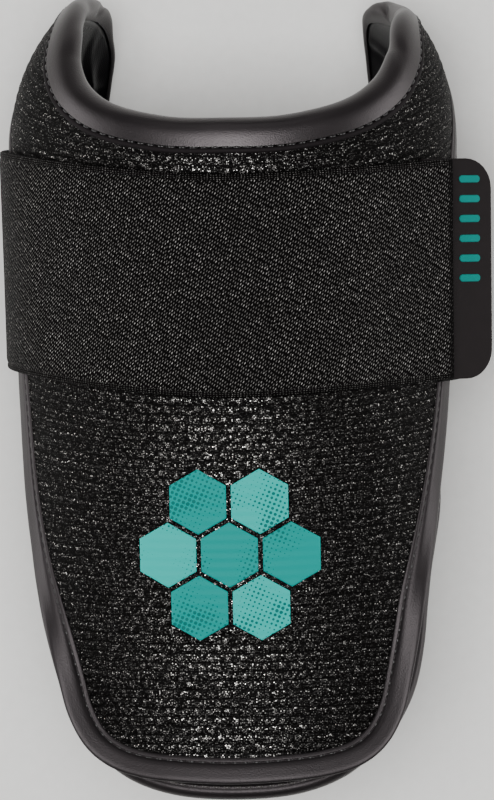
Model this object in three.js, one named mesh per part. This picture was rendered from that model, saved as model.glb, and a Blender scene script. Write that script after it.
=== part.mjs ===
// Batter's elbow guard: a padded half sleeve, open at the back, with a mesh-covered shield on its front,
// bound edges, a padded roll round the scooped upper edge and a wide elastic strap with a pull tab.
// Millimetres. It lies on its back: +Z is the front of the guard and points up, +Y points to the scooped
// edge, X = 0 is the middle plane, and the strap's rear span rests flat on z = 0.
import * as THREE from "three";

// Walls, from the front inwards; depths are measured inwards from the outer face of the front panel
const GAP = 0.4;
const PANEL_THICKNESS = 3;
const PANEL_TO_PAD = 0.6;
const PAD_THICKNESS = 4.4;
const PAD_OUTER = PANEL_THICKNESS + PANEL_TO_PAD;
// Between these angles round the arm, the pad thins towards the wings
const WING_PAD = { from: 45, to: 88, thickness: 1.6 };

// Form of the sleeve. Each row is a cross-section at height y: its width left and right of the middle, how far
// the front and the rear reach from the widest level, and the height of that level over what it lies on.
const SECTIONS = [
  { y: -142, left: 55.6, right: 55.6, front: 24.0, rear: 36.0, level: 56.0 },
  { y: -100, left: 56.8, right: 56.8, front: 30.5, rear: 44.0, level: 56.0 },
  { y: -65, left: 57.8, right: 57.8, front: 38.5, rear: 50.0, level: 51.5 },
  { y: -32, left: 58.6, right: 58.2, front: 46.5, rear: 54.0, level: 45.5 },
  { y: 0, left: 59.4, right: 58.7, front: 50.0, rear: 54.5, level: 42.5 },
  { y: 38, left: 60.3, right: 59.1, front: 49.5, rear: 54.5, level: 42.5 },
];
// Above this height the sections shrink to a dome, which leans the two wings in over the arm: power 2 makes it
// an ellipse, and a higher power keeps it wide for longer
const DOME_START = 38;
const DOME = { left: { reach: 53.5, power: 2 }, right: { reach: 50, power: 2.4 } };

// Half outlines, from the middle outwards: wrap is the angle round the arm from the front, in degrees. Where
// the two sides differ, right is that angle on the right side and rightY the height there.
const SCOOP_AND_WING = [
  { wrap: 0, y: 36.8 },
  { wrap: 17, right: 18, y: 37.4 },
  { wrap: 36, right: 38.5, y: 41.8 },
  { wrap: 48.5, right: 52.2, y: 48.4 },
  { wrap: 59, right: 63.5, y: 57.2 },
  { wrap: 68.5, right: 73.5, y: 66.2, rightY: 65.4 },
  { wrap: 80, right: 83, y: 71.8, rightY: 69.0 },
  { wrap: 92, right: 94, y: 74.1, rightY: 70.3 },
  { wrap: 104, right: 106, y: 74.4, rightY: 71.4 },
  { wrap: 116, right: 118, y: 73.2, rightY: 72.6 },
  { wrap: 126.5, y: 69.4, rightY: 71.4 },
  { wrap: 133.6, right: 132, y: 62.8, rightY: 67.0 },
  { wrap: 135.7, right: 135.8, y: 54.0, rightY: 58.0 },
  { wrap: 135.9, right: 137, y: 44.0 },
];
const PAD_LOWER_EDGE = [
  { wrap: 0, y: -134.4 },
  { wrap: 17, y: -133.2 },
  { wrap: 29.8, y: -129.5 },
  { wrap: 38.5, right: 39, y: -124.4 },
  { wrap: 45.5, right: 48, y: -118.0 },
  { wrap: 50.5, right: 57.5, y: -108.0 },
  { wrap: 55, right: 63, y: -97.0 },
  { wrap: 60, right: 66, y: -86.0 },
  { wrap: 67, right: 70, y: -75.5 },
  { wrap: 78, right: 79, y: -64.5 },
  { wrap: 94, y: -54.5 },
  { wrap: 112, y: -47.0 },
  { wrap: 128, y: -40.5 },
  { wrap: 134, y: -33.0 },
  { wrap: 135.4, y: -26.0 },
];
const PANEL_SIDE_EDGE = [
  { wrap: 0, y: -126.7 },
  { wrap: 16, y: -126.0 },
  { wrap: 25, y: -125.0 },
  { wrap: 32.5, right: 33.6, y: -122.9 },
  { wrap: 38.3, right: 39.6, y: -119.2 },
  { wrap: 42.8, right: 44.0, y: -112.8 },
  { wrap: 45.8, right: 46.6, y: -104.0 },
  { wrap: 49.6, right: 49.1, y: -94.0 },
  { wrap: 54.4, right: 51.6, y: -83.5 },
  { wrap: 59, right: 55.2, y: -73.5 },
  { wrap: 65.4, right: 62.4, y: -54.0 },
  { wrap: 70, y: -30.0 },
  { wrap: 74, right: 74.5, y: -5.0 },
  { wrap: 79, y: 18.0 },
  { wrap: 85, y: 35.0 },
  { wrap: 91, y: 44.5 },
  { wrap: 98, y: 53.0 },
  { wrap: 104, y: 62.0 },
];
const PANEL_TOP_END = { wrap: 106, y: 74.2, rightY: 71.4 };

// Edges: how far each reaches out from the wall, how far it stands proud, and how boxy its round is
const ROLL = { reach: 7.2, proud: 0.6, fullness: 0.6 };
const WING_ROLL = { reach: 4.0, proud: 0.4 };
const REAR_RIM_REACH = 1.6;
// The roll shrinks between the first two angles. Between the next two it draws back from the panel's face,
// because only the pad goes on round the rear, and between the last two it thins to a rim.
const ROLL_SHRINKS = { from: 62, to: 95 };
const ROLL_NARROWS = { from: 113, to: 124 };
const ROLL_THINS = { from: 116, to: 132 };
const PANEL_BINDING = { reach: 6.4, proud: 0.5, fullness: 0.35 };
const PAD_BINDING = { reach: 4.4, proud: 0.3, fullness: 0.55 };
// The panel binding turns out like a lip towards the lower end, further down on the left than on the right,
// and stands up more round the two lower corners
const LIP = { angle: 26, left: { from: -66, to: -108 }, right: { from: -50, to: -98 } };
const CORNER_LIP = { angle: 16, wrap: 43, spread: 9 };
// Where the bindings end, as shares of the panel's short upper end and of the pad's last step
const PANEL_BINDING_ENDS = [0.17, 0.6];
const PAD_BINDING_ENDS = [0.07];

// Strap: one band from its sewn end on the right, round the back and the left, over the front to the tab
const STRAP_WIDTH = 59;
const STRAP_THICKNESS = 2.4;
const STRAP_Y = 0.0;
const STRAP_RISE = { left: 6.2, right: 3.2, sewn: 2.1 };
const STRAP_BOW_POWER = 1.5;
const STRAP_CLEARANCE = 1.1;
const STRAP_TUCK = { from: 94, to: 116, depth: 1.1 };
const STRAP_SEWN_AT = 66;
const STRAP_LIFTS_AT = 40;
const STRAP_FREE_END = 24.5;
const STRAP_CORNER_AT = 126;
const STRAP_CORNER_RUN = 6;

// Pull tab: a plate under the free end of the strap
const TAB_LENGTH = 14.5;
const TAB_TUCK = 8;
const TAB_THICKNESS = 1.8;
const TAB_CORNER = 8;
const TAB_BEVEL = 0.4;

// Facets
const PAD_COLUMNS = 56;
const PANEL_COLUMNS = 56;
const WALL_ROWS = 11;
const ROWS_CLOSE_UP = 1.35;
const REAR_STEPS = 7;
const BEAD_POINTS = 10;
const STRAP_ROWS = 4;
const STRAP_REAR_DEGREES = 6;
const STRAP_FRONT_STEPS = 30;
const OUTLINE_DIVISIONS = 600;

const radians = THREE.MathUtils.degToRad;

const sectionCurve = new THREE.CubicInterpolant(
  SECTIONS.map((row) => row.y),
  SECTIONS.flatMap((row) => [row.left, row.right, row.front, row.rear, row.level]),
  5,
);

// Point of the form at an angle round the arm and a height
function formPoint(wrap, y) {
  const [left, right, front, rear, level] = sectionCurve.evaluate(Math.min(y, DOME_START));
  const width = wrap < 0 ? left : right;
  const { reach, power } = wrap < 0 ? DOME.left : DOME.right;
  const dome = (1 - (Math.max(y - DOME_START, 0) / reach) ** power) ** (1 / power);
  const turn = radians(wrap);
  const depth = Math.abs(wrap) < 90 ? front : rear;
  return new THREE.Vector3(width * dome * Math.sin(turn), y, level + depth * dome * Math.cos(turn));
}

// Outward normal of the form
function formNormal(wrap, y) {
  const across = formPoint(wrap + 0.5, y).sub(formPoint(wrap - 0.5, y));
  const along = formPoint(wrap, y + 0.5).sub(formPoint(wrap, y - 0.5));
  return across.cross(along).normalize();
}

// Point inside the form, at a depth below it
function wallPoint(wrap, y, depth) {
  return formPoint(wrap, y).addScaledVector(formNormal(wrap, y), -depth);
}

// Closed solid through rings of equal size. A ring runs along the outer face and back along the inner one.
function loft(rings) {
  const size = rings[0].length;
  const last = (rings.length - 1) * size;
  const index = [];
  const quad = (a, b, c, d) => index.push(a, b, c, a, c, d);
  for (let start = 0; start < last; start += size) {
    for (let k = 0; k < size; k += 1) {
      const next = (k + 1) % size;
      quad(start + k, start + size + k, start + size + next, start + next);
    }
  }
  for (let k = 0; k < size / 2 - 1; k += 1) {
    const opposite = size - 1 - k;
    quad(k, k + 1, opposite - 1, opposite);
    quad(last + k, last + opposite, last + opposite - 1, last + k + 1);
  }
  const geometry = new THREE.BufferGeometry();
  const positions = rings.flat().flatMap((point) => point.toArray());
  geometry.setAttribute("position", new THREE.Float32BufferAttribute(positions, 3));
  geometry.setIndex(index);
  geometry.computeVertexNormals();
  return geometry;
}

// Points along both sides of a half outline, from the left to the right, evenly spaced
function edgePoints(rows, count) {
  const right = rows.map((row) => new THREE.Vector3(row.right ?? row.wrap, row.rightY ?? row.y, 0));
  const left = rows.slice(1).map((row) => new THREE.Vector3(-row.wrap, row.y, 0));
  const curve = new THREE.CatmullRomCurve3([...left.reverse(), ...right], false, "centripetal");
  curve.arcLengthDivisions = OUTLINE_DIVISIONS;
  return curve.getSpacedPoints(count);
}

// Points of a straight run of the outline, at shares of its length
function runPoints(from, to, shares) {
  return shares.map((share) => from.clone().lerp(to, share));
}

// Depth of the pad's inner face at an angle
function padInner(wrap) {
  const thin = THREE.MathUtils.smoothstep(Math.abs(wrap), WING_PAD.from, WING_PAD.to);
  return PAD_OUTER + THREE.MathUtils.lerp(PAD_THICKNESS, WING_PAD.thickness, thin);
}

// Curved wall between a lower and an upper edge, with rows that close up towards the domed wings
function wall(lower, upper, outerDepth, innerDepthAt) {
  const rings = lower.map((low, i) => {
    const outer = [];
    const inner = [];
    for (let j = 0; j <= WALL_ROWS; j += 1) {
      const spot = low.clone().lerp(upper[i], 1 - (1 - j / WALL_ROWS) ** ROWS_CLOSE_UP);
      outer.push(wallPoint(spot.x, spot.y, outerDepth));
      inner.push(wallPoint(spot.x, spot.y, innerDepthAt(spot.x)));
    }
    return [...outer, ...inner.reverse()];
  });
  return loft(rings);
}

// Half-round profile with its flat side to the wall
function halfRound({ reach, proud, fullness }, outerDepth, innerDepth) {
  const top = outerDepth - proud;
  const bottom = innerDepth + proud;
  return Array.from({ length: BEAD_POINTS }, (_, k) => {
    const turn = (Math.PI * k) / (BEAD_POINTS - 1);
    return {
      reach: GAP + reach * Math.sin(turn) ** fullness,
      depth: (top + bottom) / 2 - ((bottom - top) / 2) * Math.cos(turn),
    };
  });
}

// Bead along an edge. The path runs clockwise as seen from the front, so the bead grows away from the wall;
// a lip angle turns it up off the form.
function edgeBead(path, profileAt, lipAt = () => 0) {
  const rings = path.map((spot, i) => {
    const before = path[Math.max(i - 1, 0)];
    const after = path[Math.min(i + 1, path.length - 1)];
    const travel = formPoint(after.x, after.y).sub(formPoint(before.x, before.y));
    const normal = formNormal(spot.x, spot.y);
    const outward = normal.clone().cross(travel).normalize();
    const lip = radians(lipAt(spot));
    const growth = outward.multiplyScalar(Math.cos(lip)).addScaledVector(normal, Math.sin(lip));
    return profileAt(spot).map(({ reach, depth }) =>
      wallPoint(spot.x, spot.y, depth).addScaledVector(growth, reach),
    );
  });
  return loft(rings);
}

// Angle by which the panel binding stands off the form
function panelLip(spot) {
  const side = spot.x < 0 ? LIP.left : LIP.right;
  const corner = (Math.abs(spot.x) - CORNER_LIP.wrap) / CORNER_LIP.spread;
  const turnOut = 1 - THREE.MathUtils.smoothstep(spot.y, side.to, side.from);
  return LIP.angle * turnOut + CORNER_LIP.angle * Math.exp(-corner * corner);
}

// How far the strap bows towards the scoop at an angle: it sags at the front
function strapBow(wrap) {
  const bend = Math.sin(radians(Math.min(Math.abs(wrap), 90))) ** STRAP_BOW_POWER;
  return (wrap < 0 ? STRAP_RISE.left : STRAP_RISE.right) * bend;
}

// Middle of the strap where it follows the form; side runs from -1 to 1 over its width
function strapOnForm(wrap, side, bow = strapBow(wrap)) {
  const y = STRAP_Y + bow + (side * STRAP_WIDTH) / 2;
  const tuck = THREE.MathUtils.smoothstep(Math.abs(wrap), STRAP_TUCK.from, STRAP_TUCK.to);
  const lift = STRAP_CLEARANCE + STRAP_THICKNESS / 2;
  return wallPoint(wrap, y, THREE.MathUtils.lerp(-lift, STRAP_TUCK.depth, tuck));
}

// Direction of the strap at an angle, towards growing wrap
function strapHeading(wrap, side) {
  return strapOnForm(wrap + 0.5, side).sub(strapOnForm(wrap - 0.5, side)).normalize();
}

// Rear corner, from the form at STRAP_CORNER_AT (hand: 1 right, -1 left) down to the flat span
function strapCorner(hand, side) {
  const wrap = hand * STRAP_CORNER_AT;
  const bow = hand > 0 ? STRAP_RISE.sewn : STRAP_RISE.left;
  const start = strapOnForm(wrap, side, bow);
  const heading = strapOnForm(wrap + hand, side, bow).sub(start).normalize();
  const drop = (start.z - STRAP_THICKNESS / 2) / -heading.z;
  const knee = start.clone().addScaledVector(heading, drop);
  const end = knee.clone();
  end.x -= hand * STRAP_CORNER_RUN;
  return new THREE.QuadraticBezierCurve3(start, knee, end);
}

// Middle of the strap, one line over its width per station, from the sewn end to the free end
function strapStations() {
  const sides = Array.from({ length: STRAP_ROWS + 1 }, (_, k) => (2 * k) / STRAP_ROWS - 1);
  const stations = [];
  const add = (place) => stations.push(sides.map(place));
  for (let wrap = STRAP_SEWN_AT; wrap <= STRAP_CORNER_AT; wrap += STRAP_REAR_DEGREES) {
    add((side) => strapOnForm(wrap, side, STRAP_RISE.sewn));
  }
  for (const t of [0.25, 0.5, 0.75]) {
    add((side) => strapCorner(1, side).getPoint(t));
  }
  for (const t of [0, 0.1, 0.5, 0.9, 1]) {
    add((side) => strapCorner(1, side).getPoint(1).lerp(strapCorner(-1, side).getPoint(1), t));
  }
  for (const t of [0.75, 0.5, 0.25]) {
    add((side) => strapCorner(-1, side).getPoint(t));
  }
  for (let k = 0; k <= STRAP_FRONT_STEPS; k += 1) {
    const wrap = THREE.MathUtils.lerp(-STRAP_CORNER_AT, STRAP_LIFTS_AT, k / STRAP_FRONT_STEPS);
    add((side) => strapOnForm(wrap, side));
  }
  for (const run of [0.25, 0.5, 0.75, 1]) {
    add((side) => strapFreePoint(run * STRAP_FREE_END, side));
  }
  return stations;
}

// Middle of the strap past the place where it lifts off the panel and runs straight
function strapFreePoint(run, side) {
  return strapOnForm(STRAP_LIFTS_AT, side).addScaledVector(strapHeading(STRAP_LIFTS_AT, side), run);
}

// Strap of even thickness round its middle lines
function strapSolid() {
  const stations = strapStations();
  const rings = stations.map((line, i) => {
    const before = stations[Math.max(i - 1, 0)];
    const after = stations[Math.min(i + 1, stations.length - 1)];
    const outer = [];
    const inner = [];
    line.forEach((point, j) => {
      const travel = after[j].clone().sub(before[j]);
      const across = line[Math.min(j + 1, STRAP_ROWS)].clone().sub(line[Math.max(j - 1, 0)]);
      const normal = travel.cross(across).normalize();
      outer.push(point.clone().addScaledVector(normal, STRAP_THICKNESS / 2));
      inner.push(point.clone().addScaledVector(normal, -STRAP_THICKNESS / 2));
    });
    return [...outer, ...inner.reverse()];
  });
  return loft(rings);
}

// Tab plate with two round corners: x along the strap from its end, y across it
function tabPlate() {
  const half = STRAP_WIDTH / 2;
  const bend = TAB_LENGTH - TAB_CORNER;
  const outline = new THREE.Shape();
  outline.moveTo(-TAB_TUCK, -half);
  outline.lineTo(bend, -half);
  outline.absarc(bend, -half + TAB_CORNER, TAB_CORNER, -Math.PI / 2, 0);
  outline.absarc(bend, half - TAB_CORNER, TAB_CORNER, 0, Math.PI / 2);
  outline.lineTo(-TAB_TUCK, half);
  return new THREE.ExtrudeGeometry(outline, {
    depth: TAB_THICKNESS - 2 * TAB_BEVEL,
    bevelSize: TAB_BEVEL,
    bevelOffset: -TAB_BEVEL,
    bevelThickness: TAB_BEVEL,
    bevelSegments: 1,
    curveSegments: 8,
  });
}

function piece(name, geometry, color, roughness) {
  const mesh = new THREE.Mesh(geometry, new THREE.MeshStandardMaterial({ color, roughness, metalness: 0 }));
  mesh.name = name;
  return mesh;
}

// Pad: the whole half sleeve
const padTop = edgePoints(SCOOP_AND_WING, PAD_COLUMNS);
const padBottom = edgePoints(PAD_LOWER_EDGE, PAD_COLUMNS);
const innerPad = piece("inner_pad", wall(padBottom, padTop, PAD_OUTER, padInner), 0x17161a, 0.45);

// Front panel: the same scoop, but narrower sides and a shorter lower end
const panelScoop = SCOOP_AND_WING.filter((row) => (row.right ?? row.wrap) < PANEL_TOP_END.wrap);
const panelTop = edgePoints([...panelScoop, PANEL_TOP_END], PANEL_COLUMNS);
const panelBottom = edgePoints(PANEL_SIDE_EDGE, PANEL_COLUMNS);
const frontPanel = piece("front_panel", wall(panelBottom, panelTop, 0, () => PANEL_THICKNESS), 0x1d1c1f, 0.7);

// Top roll: up the left rear edge, along the scoop and wings, down the right rear edge
const rearShares = Array.from({ length: REAR_STEPS }, (_, k) => k / REAR_STEPS);
const leftRear = runPoints(padBottom[0], padTop[0], rearShares);
const rightRear = runPoints(padBottom[PAD_COLUMNS], padTop[PAD_COLUMNS], rearShares);
const rollPath = [...leftRear, ...padTop, ...rightRear.reverse()];
const topRoll = piece(
  "top_roll",
  edgeBead(rollPath, (spot) => {
    const shrink = THREE.MathUtils.smoothstep(Math.abs(spot.x), ROLL_SHRINKS.from, ROLL_SHRINKS.to);
    const narrow = THREE.MathUtils.smoothstep(Math.abs(spot.x), ROLL_NARROWS.from, ROLL_NARROWS.to);
    const thin = THREE.MathUtils.smoothstep(Math.abs(spot.x), ROLL_THINS.from, ROLL_THINS.to);
    const wingReach = THREE.MathUtils.lerp(ROLL.reach, WING_ROLL.reach, shrink);
    const size = {
      reach: THREE.MathUtils.lerp(wingReach, REAR_RIM_REACH, thin),
      proud: THREE.MathUtils.lerp(ROLL.proud, WING_ROLL.proud, shrink),
      fullness: ROLL.fullness,
    };
    return halfRound(size, PAD_OUTER * narrow, padInner(spot.x));
  }),
  0x2c292b,
  0.4,
);

// Panel binding: down the right side, round the lower end and up the left side
const panelRight = runPoints(panelTop[PANEL_COLUMNS], panelBottom[PANEL_COLUMNS], PANEL_BINDING_ENDS);
const panelLeft = runPoints(panelTop[0], panelBottom[0], PANEL_BINDING_ENDS);
const panelPath = [...panelRight, ...panelBottom.toReversed(), ...panelLeft.reverse()];
const panelBinding = piece(
  "panel_binding",
  edgeBead(panelPath, () => halfRound(PANEL_BINDING, 0, PANEL_THICKNESS - GAP), panelLip),
  0x2c292b,
  0.4,
);

// Pad binding: from the right rear corner round the lower end to the left rear corner
const padRight = runPoints(padBottom[PAD_COLUMNS], padBottom[PAD_COLUMNS - 1], PAD_BINDING_ENDS);
const padLeft = runPoints(padBottom[0], padBottom[1], PAD_BINDING_ENDS);
const padPath = [...padRight, ...padBottom.slice(1, -1).reverse(), ...padLeft];
const padBinding = piece(
  "pad_binding",
  edgeBead(padPath, (spot) => halfRound(PAD_BINDING, PAD_OUTER, padInner(spot.x))),
  0x2c292b,
  0.4,
);

const strap = piece("strap", strapSolid(), 0x262426, 0.85);

// Tab, in the plane of the strap's free end and in line with its cut edge
const tab = piece("pull_tab", tabPlate(), 0x2a2627, 0.5);
const tabAlong = strapHeading(STRAP_LIFTS_AT, 0);
const tabAcross = strapFreePoint(STRAP_FREE_END, 1).sub(strapFreePoint(STRAP_FREE_END, -1)).normalize();
const tabNormal = tabAlong.clone().cross(tabAcross).normalize();
tabAlong.copy(tabAcross).cross(tabNormal);
const tabDrop = STRAP_THICKNESS / 2 + GAP + TAB_THICKNESS - TAB_BEVEL;
tab.position.copy(strapFreePoint(STRAP_FREE_END, 0)).addScaledVector(tabNormal, -tabDrop);
tab.quaternion.setFromRotationMatrix(new THREE.Matrix4().makeBasis(tabAlong, tabAcross, tabNormal));

const sleeve = new THREE.Group();
sleeve.name = "sleeve";
sleeve.add(innerPad, frontPanel, topRoll, panelBinding, padBinding);

const closure = new THREE.Group();
closure.name = "closure";
closure.add(strap, tab);

const guard = new THREE.Group();
guard.name = "elbow_guard";
guard.add(sleeve, closure);

export default guard;
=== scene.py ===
"""Looks of a padded elbow guard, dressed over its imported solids.

The guard lies on its back: +Z is its front and points up, +Y points to the scooped edge, and X = 0 is its
middle plane. Points are worked out in millimetres and stored in metres.
"""

import bmesh
import bpy
import numpy as np
from mathutils import Matrix, Vector


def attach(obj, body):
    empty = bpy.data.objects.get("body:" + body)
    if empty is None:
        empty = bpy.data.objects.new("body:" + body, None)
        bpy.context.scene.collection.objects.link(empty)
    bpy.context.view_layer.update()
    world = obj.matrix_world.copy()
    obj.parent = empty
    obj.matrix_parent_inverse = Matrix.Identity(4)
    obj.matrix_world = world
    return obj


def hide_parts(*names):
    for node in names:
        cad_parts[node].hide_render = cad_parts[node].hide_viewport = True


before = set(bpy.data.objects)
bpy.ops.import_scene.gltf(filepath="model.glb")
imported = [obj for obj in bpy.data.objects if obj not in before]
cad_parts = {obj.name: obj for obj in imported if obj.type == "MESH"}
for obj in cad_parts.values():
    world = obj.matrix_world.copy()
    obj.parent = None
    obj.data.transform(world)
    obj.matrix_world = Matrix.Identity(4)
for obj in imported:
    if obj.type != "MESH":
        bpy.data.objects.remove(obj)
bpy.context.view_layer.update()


# Inner pad
# Closed-cell foam between two layers of coated lining, moulded over an arm into a half sleeve that is open
# at the back. The lining shows in the hollow, and creases where the two wings lean in over the arm.

MM = 0.001
PAD_OUTER = 3.6
PAD_THICKNESS = 4.4
WING_PAD_THICKNESS = 1.6
PAD_THINS = (45.0, 88.0)
PAD_COLUMNS = 280
PAD_ROWS = 100
# The real threads are finer: these are as coarse as they need to show
LINING_THREAD = 0.5
LINING_PATCH = 7.0
LINING_PORE = 0.5
LINING_WEAVE_SHARE = 0.35
DOME_START = 38.0
DOME_REACH_LEFT = 53.5
DOME_REACH_RIGHT = 50.0
DOME_POWER_LEFT = 2.0
DOME_POWER_RIGHT = 2.4
ARM_RADIUS = 55.0
CURVE_SAMPLES = 30
SLOPE_STEP = 0.5
FOLD_GAIN = 1.6
MERGE_DISTANCE = 1e-7
# Sections of the sleeve: height, width left and right of the middle, reach of the front, reach of the rear,
# level of the widest place
SLEEVE_SECTIONS = (
    (-142, 55.6, 55.6, 24.0, 36.0, 56.0),
    (-100, 56.8, 56.8, 30.5, 44.0, 56.0),
    (-65, 57.8, 57.8, 38.5, 50.0, 51.5),
    (-32, 58.6, 58.2, 46.5, 54.0, 45.5),
    (0, 59.4, 58.7, 50.0, 54.5, 42.5),
    (38, 60.3, 59.1, 49.5, 54.5, 42.5),
)
# Half outlines, from the middle to the sides: angle round the arm from the front in degrees, on the left
# and on the right, then height, and the height on the right where it is another
SCOOP_AND_WING = (
    (0, 0, 36.8),
    (17, 18, 37.4),
    (36, 38.5, 41.8),
    (48.5, 52.2, 48.4),
    (59, 63.5, 57.2),
    (68.5, 73.5, 66.2, 65.4),
    (80, 83, 71.8, 69.0),
    (92, 94, 74.1, 70.3),
    (104, 106, 74.4, 71.4),
    (116, 118, 73.2, 72.6),
    (126.5, 126.5, 69.4, 71.4),
    (133.6, 132, 62.8, 67.0),
    (135.7, 135.8, 54.0, 58.0),
    (135.9, 137, 44.0),
)
PAD_LOWER_EDGE = (
    (0, 0, -134.4),
    (17, 17, -133.2),
    (29.8, 29.8, -129.5),
    (38.5, 39, -124.4),
    (45.5, 48, -118.0),
    (50.5, 57.5, -108.0),
    (55, 63, -97.0),
    (60, 66, -86.0),
    (67, 70, -75.5),
    (78, 79, -64.5),
    (94, 94, -54.5),
    (112, 112, -47.0),
    (128, 128, -40.5),
    (134, 134, -33.0),
    (135.4, 135.4, -26.0),
)
# Creases of the lining: angle, height, direction in degrees, half length, half width, depth
LINING_FOLDS = (
    (-114, 60, 24, 12, 2.2, 1.0),
    (-126, 56, 62, 11, 1.9, 0.9),
    (-118, 49, -18, 14, 2.2, 0.9),
    (-129, 44, 80, 14, 1.8, 0.9),
    (-105, 45, 68, 14, 3.0, 1.1),
    (-123, 34, 8, 20, 2.8, 0.9),
    (112, 61, -30, 11, 2.0, 1.0),
    (125, 60, 35, 9, 1.6, 0.9),
    (130, 52, -40, 9, 1.5, 0.9),
    (120, 51, 14, 13, 2.0, 1.0),
    (128, 43, 10, 12, 1.7, 0.9),
    (106, 47, -62, 14, 2.8, 1.1),
    (122, 36, -8, 20, 2.6, 0.9),
)


def through(table, at):
    """Other columns of a table at places along its first one, on a smooth curve through its rows."""
    table = np.asarray(table, float)
    knots, values = table[:, 0], table[:, 1:]
    step = np.diff(knots)[:, None]
    slope = np.diff(values, axis=0) / step
    middle = (slope[:-1] * step[1:] + slope[1:] * step[:-1]) / (step[:-1] + step[1:])
    lean = np.vstack([slope[:1], middle, slope[-1:]])
    at = np.asarray(at, float)
    row = np.clip(np.searchsorted(knots, at, side="right") - 1, 0, len(step) - 1)
    share = (at - knots[row])[..., None] / step[row]
    bend_in = lean[row] * step[row] - (values[row + 1] - values[row])
    bend_out = -lean[row + 1] * step[row] + (values[row + 1] - values[row])
    straight = values[row] * (1 - share) + values[row + 1] * share
    return straight + share * (1 - share) * (bend_in * (1 - share) + bend_out * share)


def run_along(points):
    """Distance along a line of points, from its first one."""
    return np.concatenate([[0], np.cumsum(np.linalg.norm(np.diff(points, axis=0), axis=1))])


def spaced(points, count):
    """Evenly spaced places along a smooth curve through a few points."""
    points = np.asarray(points, float)
    chords = np.linalg.norm(np.diff(points, axis=0), axis=1)
    knots = np.concatenate([[0], np.cumsum(np.sqrt(chords))])
    fine_knots = np.linspace(0, knots[-1], CURVE_SAMPLES * count)
    fine = through(np.column_stack([knots, points]), fine_knots)
    run = run_along(fine)
    places = np.linspace(0, run[-1], count + 1)
    return np.column_stack([np.interp(places, run, column) for column in fine.T])


def outline(half, count):
    """Evenly spaced places along both sides of a half outline, from the left to the right."""
    left = [(-row[0], row[2]) for row in half[:0:-1]]
    right = [(row[1], row[-1]) for row in half]
    return spaced(left + right, count)


def ease(value, low, high):
    """Smooth step from 0 to 1 between two values."""
    share = np.clip((value - low) / (high - low), 0, 1)
    return share**2 * (3 - 2 * share)


def pad_inner(wrap):
    """Depth of the pad's inner face, which comes nearer where the pad thins towards the wings."""
    thin = ease(np.abs(wrap), *PAD_THINS)
    return PAD_OUTER + PAD_THICKNESS + (WING_PAD_THICKNESS - PAD_THICKNESS) * thin


def unit(vectors):
    """The same directions, one long."""
    return vectors / np.linalg.norm(vectors, axis=-1, keepdims=True)


def form_point(wrap, y):
    """Point of the sleeve's outer face at an angle round the arm and a height."""
    section = through(SLEEVE_SECTIONS, np.minimum(y, DOME_START))
    left, right, front, rear, level = np.moveaxis(section, -1, 0)
    half_width = np.where(wrap < 0, left, right)
    reach = np.where(wrap < 0, DOME_REACH_LEFT, DOME_REACH_RIGHT)
    power = np.where(wrap < 0, DOME_POWER_LEFT, DOME_POWER_RIGHT)
    dome = (1 - (np.maximum(y - DOME_START, 0) / reach) ** power) ** (1 / power)
    turn = np.radians(wrap)
    depth = np.where(np.abs(wrap) < 90, front, rear)
    return np.stack([half_width * dome * np.sin(turn), y, level + depth * dome * np.cos(turn)], axis=-1)


def form_normal(wrap, y):
    """Direction straight out of the sleeve's outer face."""
    across = form_point(wrap + SLOPE_STEP, y) - form_point(wrap - SLOPE_STEP, y)
    along = form_point(wrap, y + SLOPE_STEP) - form_point(wrap, y - SLOPE_STEP)
    return unit(np.cross(across, along))


def wall_point(wrap, y, depth):
    """Point at a depth below the sleeve's outer face."""
    return form_point(wrap, y) - form_normal(wrap, y) * np.asarray(depth)[..., None]


def fold_depth(table, wrap, y):
    """Depth of soft folds at places on a wall: each fold is a valley beside a ridge."""
    total = np.zeros(np.shape(wrap))
    for fold_wrap, fold_y, direction, half_length, half_width, depth in table:
        across = np.radians(wrap - fold_wrap) * ARM_RADIUS
        up = y - fold_y
        turn = np.radians(direction)
        along = (across * np.cos(turn) + up * np.sin(turn)) / half_length
        off = (up * np.cos(turn) - across * np.sin(turn)) / half_width
        total += depth * FOLD_GAIN * off * np.exp(-(along**2) - off**2)
    return total


def closed_mesh(name, vertices, faces, uv=None):
    """Mesh from points in millimetres, with doubled points merged and faces turned outwards."""
    mesh = bpy.data.meshes.new(name)
    mesh.from_pydata((np.reshape(vertices, (-1, 3)) * MM).tolist(), [], np.asarray(faces).tolist())
    if uv is not None:
        corners = np.zeros(len(mesh.loops), int)
        mesh.loops.foreach_get("vertex_index", corners)
        layer = mesh.uv_layers.new(name="weave_mm")
        layer.data.foreach_set("uv", np.asarray(uv, float)[corners].ravel())
    shape = bmesh.new()
    shape.from_mesh(mesh)
    bmesh.ops.remove_doubles(shape, verts=shape.verts, dist=MERGE_DISTANCE)
    bmesh.ops.recalc_face_normals(shape, faces=shape.faces)
    shape.to_mesh(mesh)
    shape.free()
    mesh.shade_smooth()
    return mesh


def strip(one, two):
    """Faces between two lines of point numbers, or between pairs of lines in two tables."""
    return np.stack([one[..., :-1], one[..., 1:], two[..., 1:], two[..., :-1]], axis=-1).reshape(-1, 4)


def ring_quads(ids):
    """Faces between closed rings of points, given as one row of point numbers for each ring."""
    return strip(ids.T, np.roll(ids, -1, axis=1).T)


def loft(name, outer, inner, uv=None):
    """Closed body between an outer and an inner grid of the same size, its rows running along the piece."""
    rings = np.concatenate([outer, inner[:, ::-1]], axis=1)
    count, size = rings.shape[:2]
    ids = np.arange(count * size).reshape(count, size)
    half = size // 2
    ends = strip(ids[[0, -1], :half], ids[[0, -1], :half - 1:-1])
    return closed_mesh(name, rings, np.vstack([ring_quads(ids), ends]), uv)


def new_object(name, data):
    """An object in the scene."""
    thing = bpy.data.objects.new(name, data)
    bpy.context.scene.collection.objects.link(thing)
    return thing


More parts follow.
